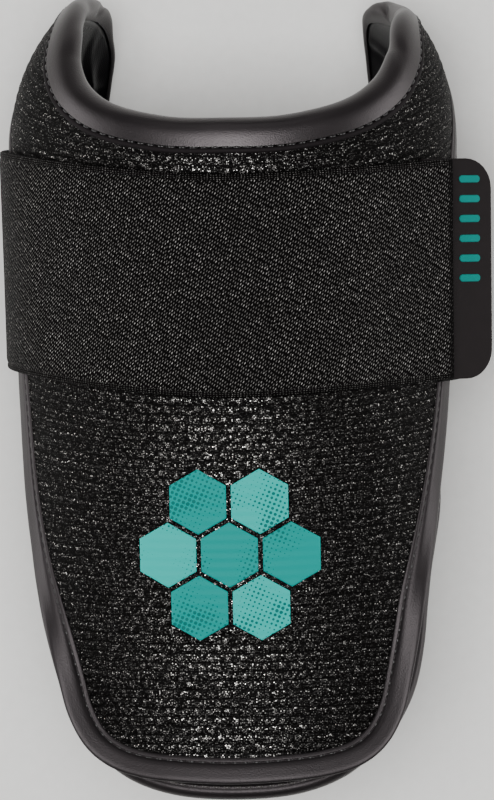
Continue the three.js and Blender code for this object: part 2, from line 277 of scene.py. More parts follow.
def add_piece(mesh, material, slot, *nodes):
    """Puts a finished mesh on the guard under its own name, in the place of the solids it stands for."""
    piece = new_object(mesh.name, mesh)
    mesh.materials.append(material)
    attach(piece, "root")
    if nodes:
        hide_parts(*nodes)
    return piece


def linear(hex_colour):
    """sRGB hex to the linear colour that a shader takes."""
    channels = np.array([int(hex_colour[i:i + 2], 16) for i in (1, 3, 5)]) / 255
    light = np.where(channels <= 0.04045, channels / 12.92, ((channels + 0.055) / 1.055) ** 2.4)
    return (*light, 1.0)


def set_inputs(tree, node, inputs):
    """Sets or links input sockets, by name or in their order. A node stands for its first output."""
    for socket, value in inputs.items() if isinstance(inputs, dict) else enumerate(inputs):
        if isinstance(value, bpy.types.Node):
            value = next(output for output in value.outputs if output.enabled)
        if isinstance(value, bpy.types.NodeSocket):
            tree.links.new(value, node.inputs[socket])
        else:
            node.inputs[socket].default_value = value


def add_node(tree, kind, inputs=(), **settings):
    """Adds a shader node, sets its properties, and sets or links its input sockets."""
    node = tree.nodes.new("ShaderNode" + kind)
    for setting, value in settings.items():
        setattr(node, setting, value)
    set_inputs(tree, node, inputs)
    return node


def new_material(name):
    """A new material, with its node tree and its shader."""
    material = bpy.data.materials.new(name)
    material.use_nodes = True
    tree = material.node_tree
    return material, tree, tree.nodes["Principled BSDF"]


def mottle(tree, patch, detail, dark, light):
    """Places on a piece, soft patches of a size in millimetres, and a colour that follows the patches."""
    place = add_node(tree, "TexCoord").outputs["Object"]
    patches = add_node(tree, "TexNoise", {"Vector": place, "Scale": 1 / (patch * MM), "Detail": detail})
    colours = {"Factor": patches, "A": linear(dark), "B": linear(light)}
    return place, patches, add_node(tree, "Mix", colours, data_type="RGBA")


def coated_nylon_lining():
    """Plain-woven nylon with a thin polyurethane coat: black, with a soft gloss that creases break up."""
    material, tree, shader = new_material("coated_nylon_lining")
    place, patches, colours = mottle(tree, LINING_PATCH, 4, "#070608", "#0e0d0f")
    weave = add_node(tree, "UVMap", uv_map="weave_mm")
    threads = add_node(tree, "SeparateXYZ", [weave])
    waves = []
    for axis in ("X", "Y"):
        turn = add_node(tree, "Math", [threads.outputs[axis], np.pi / LINING_THREAD], operation="MULTIPLY")
        waves.append(add_node(tree, "Math", [turn], operation="SINE"))
    over_under = add_node(tree, "Math", waves, operation="MULTIPLY")
    pores = add_node(tree, "TexNoise", {"Vector": place, "Scale": 1 / (LINING_PORE * MM), "Detail": 3})
    height = add_node(tree, "Math", [over_under, LINING_WEAVE_SHARE, pores], operation="MULTIPLY_ADD")
    set_inputs(tree, shader, {
        "Base Color": colours,
        "Roughness": add_node(tree, "MapRange", {"Value": patches, "To Min": 0.22, "To Max": 0.38}),
        "Normal": add_node(tree, "Bump", {"Height": height, "Strength": 0.5, "Distance": 0.08 * MM}),
        "Specular IOR Level": 0.25,
    })
    return material


pad_top = outline(SCOOP_AND_WING, PAD_COLUMNS)
pad_bottom = outline(PAD_LOWER_EDGE, PAD_COLUMNS)
pad_shares = np.linspace(0, 1, PAD_ROWS + 1)[:, None]
pad_spots = pad_bottom[:, None] * (1 - pad_shares) + pad_top[:, None] * pad_shares
pad_wrap, pad_y = np.moveaxis(pad_spots, -1, 0)
pad_faces = [
    wall_point(pad_wrap, pad_y, np.full(pad_wrap.shape, PAD_OUTER)),
    wall_point(pad_wrap, pad_y, pad_inner(pad_wrap) + fold_depth(LINING_FOLDS, pad_wrap, pad_y)),
]
pad_uv = np.stack([np.radians(pad_wrap) * ARM_RADIUS, pad_y], axis=-1)
pad_uv = np.concatenate([pad_uv, pad_uv[:, ::-1]], axis=1).reshape(-1, 2)
pad_mesh = loft("padded_lining", *pad_faces, pad_uv)
pad = add_piece(pad_mesh, coated_nylon_lining(), "lining", "inner_pad")


# Pad binding
# A strip of coated leather folded round the pad's lower edge and sewn through. Its thread shows in the gap
# below the front panel's own binding.

PAD_BINDING_STATIONS = 300
# Profiles across the edge, and the seam's place in them: reach out from the wall, depth below the sleeve's
# outer face
PAD_BINDING_OUTSIDE = (
    (-3.0, 3.5),
    (-2.7, 3.05),
    (-1.2, 3.0),
    (-0.1, 3.1),
    (0.5, 3.5),
    (1.1, 3.5),
    (1.6, 3.05),
    (2.6, 3.0),
    (3.7, 3.5),
    (4.5, 4.6),
    (4.8, 6.0),
    (4.3, 7.5),
    (3.0, 8.5),
    (0.8, 8.7),
    (-2.2, 8.6),
    (-2.6, 8.2),
)
PAD_BINDING_INSIDE = (
    (-2.9, 3.55),
    (0.2, 3.6),
    (0.3, 5.8),
    (0.2, 8.05),
    (-2.5, 8.1),
)
PROFILE_STEPS = 36
PAD_SEAM = (0.8, 3.4)
STITCH_PITCH = 2.9
STITCH_SHARE = 0.7
THREAD_RADIUS = 0.28
THREAD_SIDES = 6
THREAD_SHADE = 2.5
# A stitch along its length: share of the length, then lift and half width in thread radii
STITCH_PROFILE = ((0, -1.1, 0.75), (0.14, 0.2, 1), (0.5, 0.6, 1.08), (0.86, 0.2, 1), (1, -1.1, 0.75))
LEATHER_CLOUD = 11.0
LEATHER_CELL = 0.7
LEATHER_GRAIN = 0.35


def edge_frame(path):
    """Places along an edge of the sleeve, with the outward direction and the normal at each."""
    wrap, y = path.T
    place = form_point(wrap, y)
    normal = form_normal(wrap, y)
    outward = unit(np.cross(normal, np.gradient(place, axis=0)))
    return place, outward, normal


def bead(path, profile, lip=None):
    """A profile carried along an edge. A lip angle turns what reaches out up off the form."""
    place, outward, normal = (part[:, None] for part in edge_frame(path))
    profile = np.asarray(profile, float)
    reach, depth = profile[..., :1], profile[..., 1:]
    turn = np.radians(np.zeros(len(path)) if lip is None else lip)[:, None, None]
    growth = np.where(reach > 0, outward * np.cos(turn) + normal * np.sin(turn), outward)
    return place - normal * depth + growth * reach


def sew(name, path, seam, thread, lip=None):
    """A row of thread stitches along an edge, in one mesh: each dips into the surface at both ends."""
    line = bead(path, [seam], lip)[:, 0]
    run = run_along(line)
    shares, lift, width = np.array(STITCH_PROFILE).T
    starts = np.arange(0, run[-1] - STITCH_PITCH, STITCH_PITCH)
    places = starts[:, None] + shares * STITCH_PITCH * STITCH_SHARE
    centre, above = (
        np.stack([np.interp(places, run, column) for column in values.T], axis=-1)
        for values in (line, edge_frame(path)[2])
    )
    above = unit(above)
    side = unit(np.cross(np.gradient(centre, axis=1), above))
    centre = centre + above * (lift * THREAD_RADIUS)[:, None]
    turns = np.radians(np.arange(0, 360, 360 / THREAD_SIDES))
    round_it = side[..., None, :] * np.cos(turns)[:, None] + above[..., None, :] * np.sin(turns)[:, None]
    rings = centre[..., None, :] + round_it * (width * THREAD_RADIUS)[:, None, None]
    ids = np.arange(len(shares) * THREAD_SIDES).reshape(len(shares), THREAD_SIDES)
    # Two faces close each six-sided end
    ends = ids[[0, -1]][:, [[0, 1, 4, 5], [1, 2, 3, 4]]].reshape(-1, 4)
    faces = np.vstack([ring_quads(ids), ends]) + (np.arange(len(starts)) * ids.size)[:, None, None]
    add_piece(closed_mesh(name, rings, faces.reshape(-1, 4)), thread, "binding")


def coated_leather(name, smoothest, roughest, reflection):
    """Split leather with a polyurethane coat and a fine grain: charcoal, with broad satin lights."""
    material, tree, shader = new_material(name)
    place, cloud, colours = mottle(tree, LEATHER_CLOUD, 3, "#090708", "#100d0e")
    embossed = {"Vector": place, "Scale": 1 / (LEATHER_CELL * MM)}
    cells = add_node(tree, "TexVoronoi", embossed, feature="DISTANCE_TO_EDGE")
    grain = add_node(tree, "TexNoise", {"Vector": place, "Scale": 1 / (LEATHER_GRAIN * MM), "Detail": 2})
    height = add_node(tree, "Math", [cells, grain], operation="ADD")
    set_inputs(tree, shader, {
        "Base Color": colours,
        "Roughness": add_node(tree, "MapRange", {"Value": cloud, "To Min": smoothest, "To Max": roughest}),
        "Normal": add_node(tree, "Bump", {"Height": height, "Strength": 0.6, "Distance": 0.07 * MM}),
        "Specular IOR Level": reflection,
        "Specular Tint": linear("#fff4f7"),
    })
    return material


def bonded_thread(name, dark, light):
    """Bonded nylon sewing thread with a waxy gloss: its colour runs from dark to light from stitch to
    stitch as painted glints.
    """
    material, tree, shader = new_material(name)
    colours = mottle(tree, THREAD_SHADE, 1, dark, light)[-1]
    set_inputs(tree, shader, {"Base Color": colours, "Roughness": 0.32})
    return material


leather = coated_leather("satin_coated_leather", 0.42, 0.5, 0.36)
pad_edge = outline(PAD_LOWER_EDGE, PAD_BINDING_STATIONS)[::-1]
pad_binding_faces = []
for profile in (PAD_BINDING_OUTSIDE, PAD_BINDING_INSIDE):
    reach, depth = spaced(profile, PROFILE_STEPS).T
    thinning = (pad_inner(pad_edge[:, :1]) - PAD_OUTER) / PAD_THICKNESS
    depth = np.where(depth > PAD_OUTER, PAD_OUTER + (depth - PAD_OUTER) * thinning, depth)
    places = np.stack([np.broadcast_to(reach, depth.shape), depth], axis=-1)
    pad_binding_faces.append(bead(pad_edge, places))
add_piece(loft("pad_edge_binding", *pad_binding_faces), leather, "binding", "pad_binding")
# Painted glints: this copy of the thread is painted paler, as it catches the light in the gap below the
# panel's binding
thread_with_painted_glints = bonded_thread("bonded_thread_painted_glints", "#121011", "#5a5654")
sew("pad_seam_stitches", pad_edge, PAD_SEAM, thread_with_painted_glints)


# Front panel
# A firm shield under stretched rib-knit mesh. The ribs run across the arm and bow up towards the wings.
# Each is two rows of glossy loops between grooves, and the grooves are painted dark as shade.

PANEL_THICKNESS = 3.0
PANEL_COLUMN_DEGREES = 0.75
PANEL_BACK_ROWS = 30
PANEL_EDGE_STEPS = 800
PANEL_TOP_END = (106, 106, 74.2, 71.4)
RIB_PITCH = 2.45
RIB_CREST = 0.15
RIB_GROOVE = -0.25
RIB_BOW = 12.5
RIB_BOW_GAIN = 0.1
RIB_WANDER = 0.36
WANDER_SIZE = 1.4
# The real filaments are finer: these are as coarse as they need to show
FILAMENT_LENGTH = 0.42
FILAMENT_WIDTH = 0.42
DIM_POWER = 2.5
DIM_LIGHT = 0.15
SPARK_POWER = 14.0
SPARK_LIGHT = 0.85
KNOT_STEP = 2.02
KNOT_POWER = 1.2
KNOT_UNEVEN = 0.28
KNOT_SHIFT = (0.2, -0.3, 0)
MESH_SHINE = 2.5
CROWN_AT = -3.0
# Light out from the middle of a filament or knot, or painted shade out from the middle of a groove: two
# distances, share at each
FILAMENT_ROUND = (0.15, 0.46, 1.0, 0.0)
KNOT_ROUND = (0.08, 0.27, 1.0, 0.0)
GROOVE_SHADE_ROUND = (0.03, 0.3, 0.0, 1.0)
# Painted light and shade off the crown of the arm, standing for where the light falls: two distances round
# the arm, share at each
KNOT_GLINTS_OFF_CROWN = (8.0, 32.0, 0.75, 0.2)
PARTING_SHADE_OFF_CROWN = (8.0, 22.0, 0.0, 0.8)
LOWER_ROW_SHADE_OFF_CROWN = (22.0, 40.0, 1.0, 0.4)
PAINTED_SHEEN_OFF_CROWN = (7.0, 32.0, 1.0, 0.72)
# Section of a rib: share of the pitch, share of its relief
RIB_SECTION = ((0.0, 0.0), (0.18, 0.72), (0.5, 1.0), (0.82, 0.72))
PANEL_SIDE_EDGE = (
    (0, 0, -126.7),
    (16, 16, -126.0),
    (25, 25, -125.0),
    (32.5, 33.6, -122.9),
    (38.3, 39.6, -119.2),
    (42.8, 44.0, -112.8),
    (45.8, 46.6, -104.0),
    (49.6, 49.1, -94.0),
    (54.4, 51.6, -83.5),
    (59, 55.2, -73.5),
    (65.4, 62.4, -54.0),
    (70, 70, -30.0),
    (74, 74.5, -5.0),
    (79, 79, 18.0),
    (85, 85, 35.0),
    (91, 91, 44.5),
    (98, 98, 53.0),
    (104, 104, 62.0),
)


def rib_y(wrap, rib):
    """Height of a rib at an angle: ribs are counted by their height at the middle."""
    return rib + (RIB_BOW + RIB_BOW_GAIN * rib) * (1 - np.cos(np.radians(wrap)))


def rib_at(wrap, y):
    """The rib that passes through a place."""
    bend = 1 - np.cos(np.radians(wrap))
    return (y - RIB_BOW * bend) / (1 + RIB_BOW_GAIN * bend)


def thread_cells(tree, place, length, width, uneven, staggered=False, shift=(0, 0, 0)):
    """One cell for each show of a thread, of its length and width, in straight or in staggered rows."""
    spread = 2**0.5 if staggered else 1
    laid = add_node(tree, "Mapping", {
        "Vector": place,
        "Location": shift,
        "Rotation": (0, 0, np.pi / 4 if staggered else 0),
        "Scale": (1 / (length * spread), 1 / (width * spread), 1),
    })
    cells = {"Vector": laid, "Scale": 1, "Randomness": uneven}
    return add_node(tree, "TexVoronoi", cells, voronoi_dimensions="2D")


def rib_knit_mesh():
    """Warp-knitted polyester: near-black ribs of fine filaments, each with a row of bright glossy knots.

    The grooves are painted dark as shade. Off the crown of the arm the knots' painted glints fade, a
    painted shade line parts the two rows of loops in each rib, the lower row is painted darker, and the
    painted sheen falls off.
    """
    material, tree, shader = new_material("rib_knit_mesh")
    weave = add_node(tree, "UVMap", uv_map="weave_mm")
    drifting = {"Vector": weave, "Scale": 1 / WANDER_SIZE, "Detail": 2}
    drift = add_node(tree, "TexNoise", drifting, noise_dimensions="2D").outputs["Color"]
    off_middle = add_node(tree, "VectorMath", [drift, (0.5, 0.5, 0)], operation="SUBTRACT")
    wander = (RIB_WANDER, RIB_WANDER, 0)
    wandering = add_node(tree, "VectorMath", [off_middle, wander, weave], operation="MULTIPLY_ADD")
    filaments = thread_cells(tree, wandering, FILAMENT_LENGTH, FILAMENT_WIDTH, 1)
    on_filament = add_node(tree, "MapRange", [filaments, *FILAMENT_ROUND], interpolation_type="SMOOTHSTEP")
    draws = add_node(tree, "SeparateColor", [filaments.outputs["Color"]])
    dim = add_node(tree, "Math", [draws.outputs["Red"], DIM_POWER], operation="POWER")
    spark = add_node(tree, "Math", [draws.outputs["Red"], SPARK_POWER], operation="POWER")
    spark_share = add_node(tree, "Math", [spark, SPARK_LIGHT], operation="MULTIPLY")
    dim_share = add_node(tree, "Math", [dim, DIM_LIGHT, spark_share], operation="MULTIPLY_ADD")
    knot_share = add_node(tree, "Math", [draws.outputs["Green"], KNOT_POWER], operation="POWER")
    knots = thread_cells(tree, wandering, KNOT_STEP, RIB_PITCH, KNOT_UNEVEN, True, KNOT_SHIFT)
    on_knot = add_node(tree, "MapRange", [knots, *KNOT_ROUND], interpolation_type="SMOOTHSTEP")
    round_arm = add_node(tree, "SeparateXYZ", [weave]).outputs["X"]
    from_crown = add_node(tree, "Math", [round_arm, CROWN_AT], operation="SUBTRACT")
    off_crown = add_node(tree, "Math", [from_crown], operation="ABSOLUTE")
    # Painted glints: the bright knots fade away from the crown, where the light no longer catches them
    knot_glints_show = add_node(tree, "MapRange", [off_crown, *KNOT_GLINTS_OFF_CROWN], interpolation_type="SMOOTHSTEP")
    knot_mix = add_node(tree, "Math", [on_knot, knot_glints_show], operation="MULTIPLY")
    light = add_node(tree, "Mix", {"Factor": knot_mix, "A": dim_share, "B": knot_share})
    across_rib = add_node(tree, "SeparateXYZ", [wandering]).outputs["Y"]
    # Painted shade: the loops darken into each groove between the ribs
    from_groove = add_node(tree, "Math", [across_rib, RIB_PITCH / 2], operation="PINGPONG")
    painted_groove_shade = add_node(tree, "MapRange", [from_groove, *GROOVE_SHADE_ROUND], interpolation_type="SMOOTHSTEP")
    # Painted shade: off the crown a dark line is painted between the two rows of loops in each rib
    half_rib_up = add_node(tree, "Math", [across_rib, RIB_PITCH / 2], operation="ADD")
    from_parting = add_node(tree, "Math", [half_rib_up, RIB_PITCH / 2], operation="PINGPONG")
    painted_parting_shade = add_node(tree, "MapRange", [from_parting, *GROOVE_SHADE_ROUND], interpolation_type="SMOOTHSTEP")
    parting_shade_strength = add_node(tree, "MapRange", [off_crown, *PARTING_SHADE_OFF_CROWN])
    two_rows_parting_shade = add_node(tree, "Mix", {"Factor": parting_shade_strength, "A": 1.0, "B": painted_parting_shade})
    # Painted shade: off the crown the lower row of loops in each rib is painted darker, where the light
    # falls less
    place_in_rib = add_node(tree, "Math", [across_rib, RIB_PITCH], operation="FLOORED_MODULO")
    lower_row = add_node(tree, "Math", [place_in_rib, RIB_PITCH / 2], operation="LESS_THAN")
    lower_row_painted_shade = add_node(tree, "MapRange", [off_crown, *LOWER_ROW_SHADE_OFF_CROWN])
    rows_painted_shade = add_node(tree, "Mix", {"Factor": lower_row, "A": 1.0, "B": lower_row_painted_shade})
    # Painted sheen: the loops are painted brightest over the crown and darker towards the sides
    painted_crown_sheen = add_node(tree, "MapRange", [off_crown, *PAINTED_SHEEN_OFF_CROWN], interpolation_type="SMOOTHSTEP")
    for share in (on_filament, painted_groove_shade, two_rows_parting_shade, rows_painted_shade, painted_crown_sheen):
        light = add_node(tree, "Math", [light, share], operation="MULTIPLY")
    colours = {"Factor": light, "A": linear("#040303"), "B": linear("#f6f2ee")}
    set_inputs(tree, shader, {
        "Base Color": add_node(tree, "Mix", colours, data_type="RGBA"),
        "Roughness": add_node(tree, "MapRange", {"Value": light, "To Min": 0.6, "To Max": 0.24}),
        "Metallic": add_node(tree, "Math", [light, MESH_SHINE], operation="MULTIPLY", use_clamp=True),
        "Normal": add_node(tree, "Bump", {"Height": on_filament, "Strength": 0.2, "Distance": 0.08 * MM}),
        "Specular IOR Level": 0.03,
    })
    return material


def rib_knit_panel():
    """The ribbed face, cut along the panel's outline, closed by a smooth back and a rim."""
    upper = [row for row in SCOOP_AND_WING if row[1] < PANEL_TOP_END[1]] + [PANEL_TOP_END]
    top = outline(upper, PANEL_EDGE_STEPS)
    bottom = outline((*PANEL_SIDE_EDGE, PANEL_TOP_END), PANEL_EDGE_STEPS)
    columns = np.arange(-PANEL_TOP_END[0], PANEL_TOP_END[0], PANEL_COLUMN_DEGREES)
    columns[-1] = PANEL_TOP_END[0]
    first = rib_at(columns, np.interp(columns, *bottom.T))[:, None]
    last = np.maximum(rib_at(columns, np.interp(columns, *top.T))[:, None], first)
    phase, relief = np.array(RIB_SECTION).T
    whole = np.arange(np.floor(first.min() / RIB_PITCH), np.ceil(last.max() / RIB_PITCH) + 1)
    face_ribs = ((whole[:, None] + phase) * RIB_PITCH).ravel()
    face_height = np.tile(RIB_GROOVE + (RIB_CREST - RIB_GROOVE) * relief, len(whole))
    back_ribs = np.linspace(face_ribs[0], face_ribs[-1], PANEL_BACK_ROWS)
    vertices, faces, uv, rims = [], [], [], []
    back_depth = np.full(PANEL_BACK_ROWS, PANEL_THICKNESS)
    for ribs, depth in ((face_ribs, -face_height), (back_ribs, back_depth)):
        clipped = np.clip(ribs, first, last)
        wrap = np.broadcast_to(columns[:, None], clipped.shape)
        depth = np.broadcast_to(depth, clipped.shape)
        start = sum(len(part) for part in vertices)
        ids = start + np.arange(clipped.size).reshape(clipped.shape)
        vertices.append(wall_point(wrap, rib_y(wrap, clipped), depth).reshape(-1, 3))
        uv.append(np.stack([np.radians(wrap) * ARM_RADIUS, clipped], axis=-1).reshape(-1, 2))
        faces.append(strip(ids[:, :-1].T, ids[:, 1:].T))
        rims.append(ids[:, [0, -1]].T)
    faces.append(strip(*rims))
    return closed_mesh("rib_knit_panel", np.vstack(vertices), np.vstack(faces), np.vstack(uv))


panel = add_piece(rib_knit_panel(), rib_knit_mesh(), "mesh", "front_panel")


# Print on the front panel
# Six-sided patches of heat-pressed film in two teals, laid as a honeycomb on the shield below the strap.
# The film is smooth, and the ribs below it show through as faint lines.

PRINT_CENTRE_Y = -71.5
PATCH_PITCH = 16.4
PATCH_RADIUS = 8.7
PATCH_RINGS = 18
FILM_TOP = 0.32
FILM_FOOT = -0.1
RIB_SHOW = 0.06
FILM_COLOURS = ("#00847e", "#1aa59d")
PATCH_SIDES = 6
SIDE_TURN = 2 * np.pi / PATCH_SIDES
DOT_COLOUR = "#00605b"
DOT_PITCH = 1.25
DOT_TURN = 0.4
DOT_FADE = 14.0
# Size of the dots by the fade: two values of its noise, share of the pitch at each
DOT_SIZES = (0.45, 0.7, 0.0, 0.42)


def film_patch(centre_x, centre_y):
    """Points of a six-sided patch, in rings round its centre that follow the panel."""
    turns = np.arange(PATCH_SIDES * PATCH_RINGS) * SIDE_TURN / PATCH_RINGS
    to_side = np.cos(SIDE_TURN / 2) / np.cos(np.mod(turns, SIDE_TURN) - SIDE_TURN / 2)
    reach = np.concatenate([np.linspace(0, 1, PATCH_RINGS), [1.0]])[:, None] * PATCH_RADIUS * to_side
    x = centre_x + reach * np.sin(turns)
    y = centre_y + reach * np.cos(turns)
    wrap = np.degrees(np.arcsin(x / through(SLEEVE_SECTIONS, y)[..., 0]))
    waves = np.cos(2 * np.pi * rib_at(wrap, y) / RIB_PITCH)
    height = FILM_TOP - RIB_SHOW * waves
    height[-1] = FILM_FOOT
    return wall_point(wrap, y, -height)


def heat_pressed_film(name, colour):
    """Polyurethane transfer film: even teal with a soft gloss and a halftone of darker dots."""
    material, tree, shader = new_material(name)
    place = add_node(tree, "TexCoord").outputs["Object"]
    dots_at = add_node(tree, "Mapping", {"Vector": place, "Rotation": (0, 0, DOT_TURN), "Scale": (1, 1, 0)})
    in_grid = {"Vector": dots_at, "Scale": 1 / (DOT_PITCH * MM), "Randomness": 0}
    dots = add_node(tree, "TexVoronoi", in_grid, voronoi_dimensions="2D")
    fade = add_node(tree, "TexNoise", {"Vector": place, "Scale": 1 / (DOT_FADE * MM)})
    size = add_node(tree, "MapRange", [fade, *DOT_SIZES])
    dark = add_node(tree, "Math", [dots, size], operation="LESS_THAN")
    colours = {"Factor": dark, "A": linear(colour), "B": linear(DOT_COLOUR)}
    set_inputs(tree, shader, {
        "Base Color": add_node(tree, "Mix", colours, data_type="RGBA"),
        "Roughness": 0.5,
        "Specular IOR Level": 0.05,
    })
    return material


patch_places = [(0.0, 0.0)]
for step in range(PATCH_SIDES):
    patch_turn = SIDE_TURN * (step + 0.5)
    patch_places.append((PATCH_PITCH * np.sin(patch_turn), PATCH_PITCH * np.cos(patch_turn)))
for tone, colour in enumerate(FILM_COLOURS):
    patches = np.array([film_patch(x, PRINT_CENTRE_Y + y) for x, y in patch_places[tone::2]])
    patch_ids = np.arange(patches[..., 0].size).reshape(patches.shape[:-1])
    name = f"film_patches_{tone + 1}"
    film_mesh = closed_mesh(name, patches, np.vstack([ring_quads(ids) for ids in patch_ids]))
    add_piece(film_mesh, heat_pressed_film(name, colour), "mesh")


# Panel binding
# Coated leather folded over the panel's edge: a narrow flange on the mesh, a sunk seam, then a plump satin
# band that turns out like a lip towards the lower end.

PANEL_BINDING_STATIONS = 420
PANEL_BINDING_END = (105.6, 105.6, 72.0, 69.8)
LIP_ANGLE = 26.0
# How far below the strap's middle the lip starts to turn out, and where it is whole
LEFT_LIP = (66.0, 108.0)
RIGHT_LIP = (50.0, 98.0)
CORNER_LIP_ANGLE = 16.0
CORNER_LIP_AT = 43.0
CORNER_LIP_SPREAD = 9.0
PANEL_BINDING_OUTSIDE = (
    (-0.5, 0.05),
    (-0.4, -0.3),
    (0.05, -0.5),
    (0.45, -0.62),
    (0.7, -0.5),
    (0.9, 0.0),
    (1.15, -0.45),
    (1.8, -0.78),
    (3.6, -0.9),
    (5.7, -0.8),
    (6.6, -0.25),
    (6.8, 0.8),
    (6.5, 2.2),
    (5.4, 3.0),
    (3.6, 3.05),
)
PANEL_BINDING_INSIDE = (
    (-0.45, 0.1),
    (0.3, 0.15),
    (0.6, 1.4),
    (1.6, 2.8),
    (3.5, 3.0),
)
PANEL_SEAM = (0.9, -0.1)

panel_edge = outline((*PANEL_SIDE_EDGE, PANEL_BINDING_END), PANEL_BINDING_STATIONS)[::-1]
panel_wrap, panel_y = panel_edge.T
left_lip = ease(-panel_y, *LEFT_LIP)
right_lip = ease(-panel_y, *RIGHT_LIP)
corner_lip = np.exp(-(((np.abs(panel_wrap) - CORNER_LIP_AT) / CORNER_LIP_SPREAD) ** 2))
panel_lip = LIP_ANGLE * np.where(panel_wrap < 0, left_lip, right_lip) + CORNER_LIP_ANGLE * corner_lip
panel_binding_faces = [
    bead(panel_edge, spaced(PANEL_BINDING_OUTSIDE, PROFILE_STEPS), panel_lip),
    bead(panel_edge, spaced(PANEL_BINDING_INSIDE, PROFILE_STEPS), panel_lip),
]
add_piece(loft("panel_edge_binding", *panel_binding_faces), leather, "binding", "panel_binding")
# Painted shade: this copy of the thread is painted darker, as it lies in shade in the seams
thread_with_painted_shade = bonded_thread("bonded_thread_painted_shade", "#080707", "#262424")
sew("panel_seam_stitches", panel_edge, PANEL_SEAM, thread_with_painted_shade, panel_lip)


# Top roll
# A fat tube of coated leather over soft foam, sewn round the scoop, over both wings and down the rear
# edges, where it thins. A narrow welt and a row of stitches lie between it and the mesh.

ROLL_STATIONS = 700
ROLL_STEPS = 30
SEAM_GAP = 0.15
FLAT_SIDE_SHARE = 0.9
ROLL_REACH = 7.6
WING_ROLL_REACH = 4.4
ROLL_PROUD = 0.6
WING_ROLL_PROUD = 0.4
ROLL_FULLNESS = 0.62
# Angles round the arm between which the roll changes
ROLL_SHRINKS = (62.0, 95.0)
ROLL_NARROWS = (113.0, 124.0)
ROLL_THINS = (116.0, 132.0)
REAR_RIM_REACH = 1.8
ROLL_REAR_RUN = ((135.8, 136.5, 22), (135.6, 136.0, -2), (135.4, 135.4, -25))
# Creases across the roll: angle round the arm, half width, depth, slant over its round, and how far they
# keep to the side of the arm
ROLL_CREASES = (
    (-114, 2.0, 1.3, 6.0, 1.0),
    (-96, 3.5, 0.4, 3.0, 0.5),
    (-70, 4.5, 0.35, -4.0, 0.0),
    (66, 4.0, 0.5, 5.0, 0.0),
    (84, 3.0, 0.5, -3.0, 0.5),
    (110, 2.0, 1.3, -6.0, 1.0),
)
WELT_END = 104.0
WELT_REACH = -1.05
WELT_HALF_WIDTH = 0.75
WELT_HEIGHT = 0.55
WELT_FULLNESS = 0.8
WELT_FOOT = 0.35
WELT_STATIONS = 420
WELT_STEPS = 12
WELT_SEAM = (-0.2, -0.25)


def roll_faces(path):
    """The roll's round side and its flat side against the wall."""
    wrap = np.abs(path[:, 0])
    shrink = ease(wrap, *ROLL_SHRINKS)[:, None]
    narrow = ease(wrap, *ROLL_NARROWS)[:, None]
    thin = ease(wrap, *ROLL_THINS)[:, None]
    reach = ROLL_REACH + (WING_ROLL_REACH - ROLL_REACH) * shrink
    reach = reach + (REAR_RIM_REACH - reach) * thin
    proud = ROLL_PROUD + (WING_ROLL_PROUD - ROLL_PROUD) * shrink
    top = PAD_OUTER * narrow - proud
    bottom = pad_inner(wrap)[:, None] + proud
    turn = np.linspace(0, np.pi, ROLL_STEPS)
    run = run_along(form_point(*path.T))[:, None]
    sunk = np.zeros((len(path), ROLL_STEPS))
    for crease_wrap, half_width, depth, slant, inner in ROLL_CREASES:
        at = run[np.argmin(np.abs(path[:, 0] - crease_wrap))]
        share = 1 - inner * (1 + np.cos(turn)) / 2
        sunk += share * depth * np.exp(-(((run - at + slant * np.cos(turn)) / half_width) ** 2))
    bulge = np.sin(turn) ** ROLL_FULLNESS
    round_reach = SEAM_GAP + reach * bulge - sunk * bulge
    depth = np.broadcast_to((top + bottom) / 2 - (bottom - top) / 2 * np.cos(turn), round_reach.shape)
    flat_reach = np.full(round_reach.shape, SEAM_GAP * FLAT_SIDE_SHARE)
    return [bead(path, np.stack([reach, depth], axis=-1)) for reach in (round_reach, flat_reach)]


roll_edge = outline((*SCOOP_AND_WING, *ROLL_REAR_RUN), ROLL_STATIONS)
stretched = coated_leather("stretched_coated_leather", 0.35, 0.43, 0.46)
roll_mesh = loft("padded_roll", *roll_faces(roll_edge))
roll = add_piece(roll_mesh, stretched, "binding", "top_roll")

welt_edge = outline([row for row in SCOOP_AND_WING if row[0] <= WELT_END], WELT_STATIONS)
welt_turn = np.linspace(0, np.pi, WELT_STEPS)
welt_reach = WELT_REACH - WELT_HALF_WIDTH * np.cos(welt_turn)
welt_round = np.column_stack([welt_reach, -WELT_HEIGHT * np.sin(welt_turn) ** WELT_FULLNESS])
welt_foot = np.column_stack([welt_reach, np.full(WELT_STEPS, WELT_FOOT)])
welt_mesh = loft("roll_welt", bead(welt_edge, welt_round), bead(welt_edge, welt_foot))
add_piece(welt_mesh, coated_leather("matte_leather_edge", 0.6, 0.7, 0.12), "binding")
sew("roll_seam_stitches", welt_edge, WELT_SEAM, thread_with_painted_shade)


# Strap
# One band of wide woven elastic, sewn to the right side. It goes round the back and the left, lies over the
# front and lifts off towards the tab. The guard's weight presses its rear span flat.

STRAP_WIDTH = 59.0
STRAP_THICKNESS = 2.4
STRAP_Y = 0.0
STRAP_RISE_LEFT = 6.2
STRAP_RISE_RIGHT = 3.2
STRAP_RISE_SEWN = 2.1
STRAP_BOW_POWER = 1.5
STRAP_CLEARANCE = 1.1
STRAP_TUCKS = (94.0, 116.0)
STRAP_TUCK_DEPTH = 1.1
STRAP_SEWN_AT = 66.0
STRAP_LIFTS_AT = 40.0
STRAP_FREE_END = 24.5
STRAP_CORNER_AT = 126.0
STRAP_CORNER_RUN = 6.0
STRAP_STEP_DEGREES = 1.25
STRAP_CORNER_STEPS = 12
STRAP_REAR_STEPS = 40
STRAP_FREE_STEPS = 18
SELVEDGE = 1.7
SELVEDGE_LENGTH = 0.8
SELVEDGE_PITCH = 0.55
SELVEDGE_UNEVEN = 0.3
SELVEDGE_LIGHT = 0.45
TWILL_LENGTH = 1.1
TWILL_WIDTH = 0.35
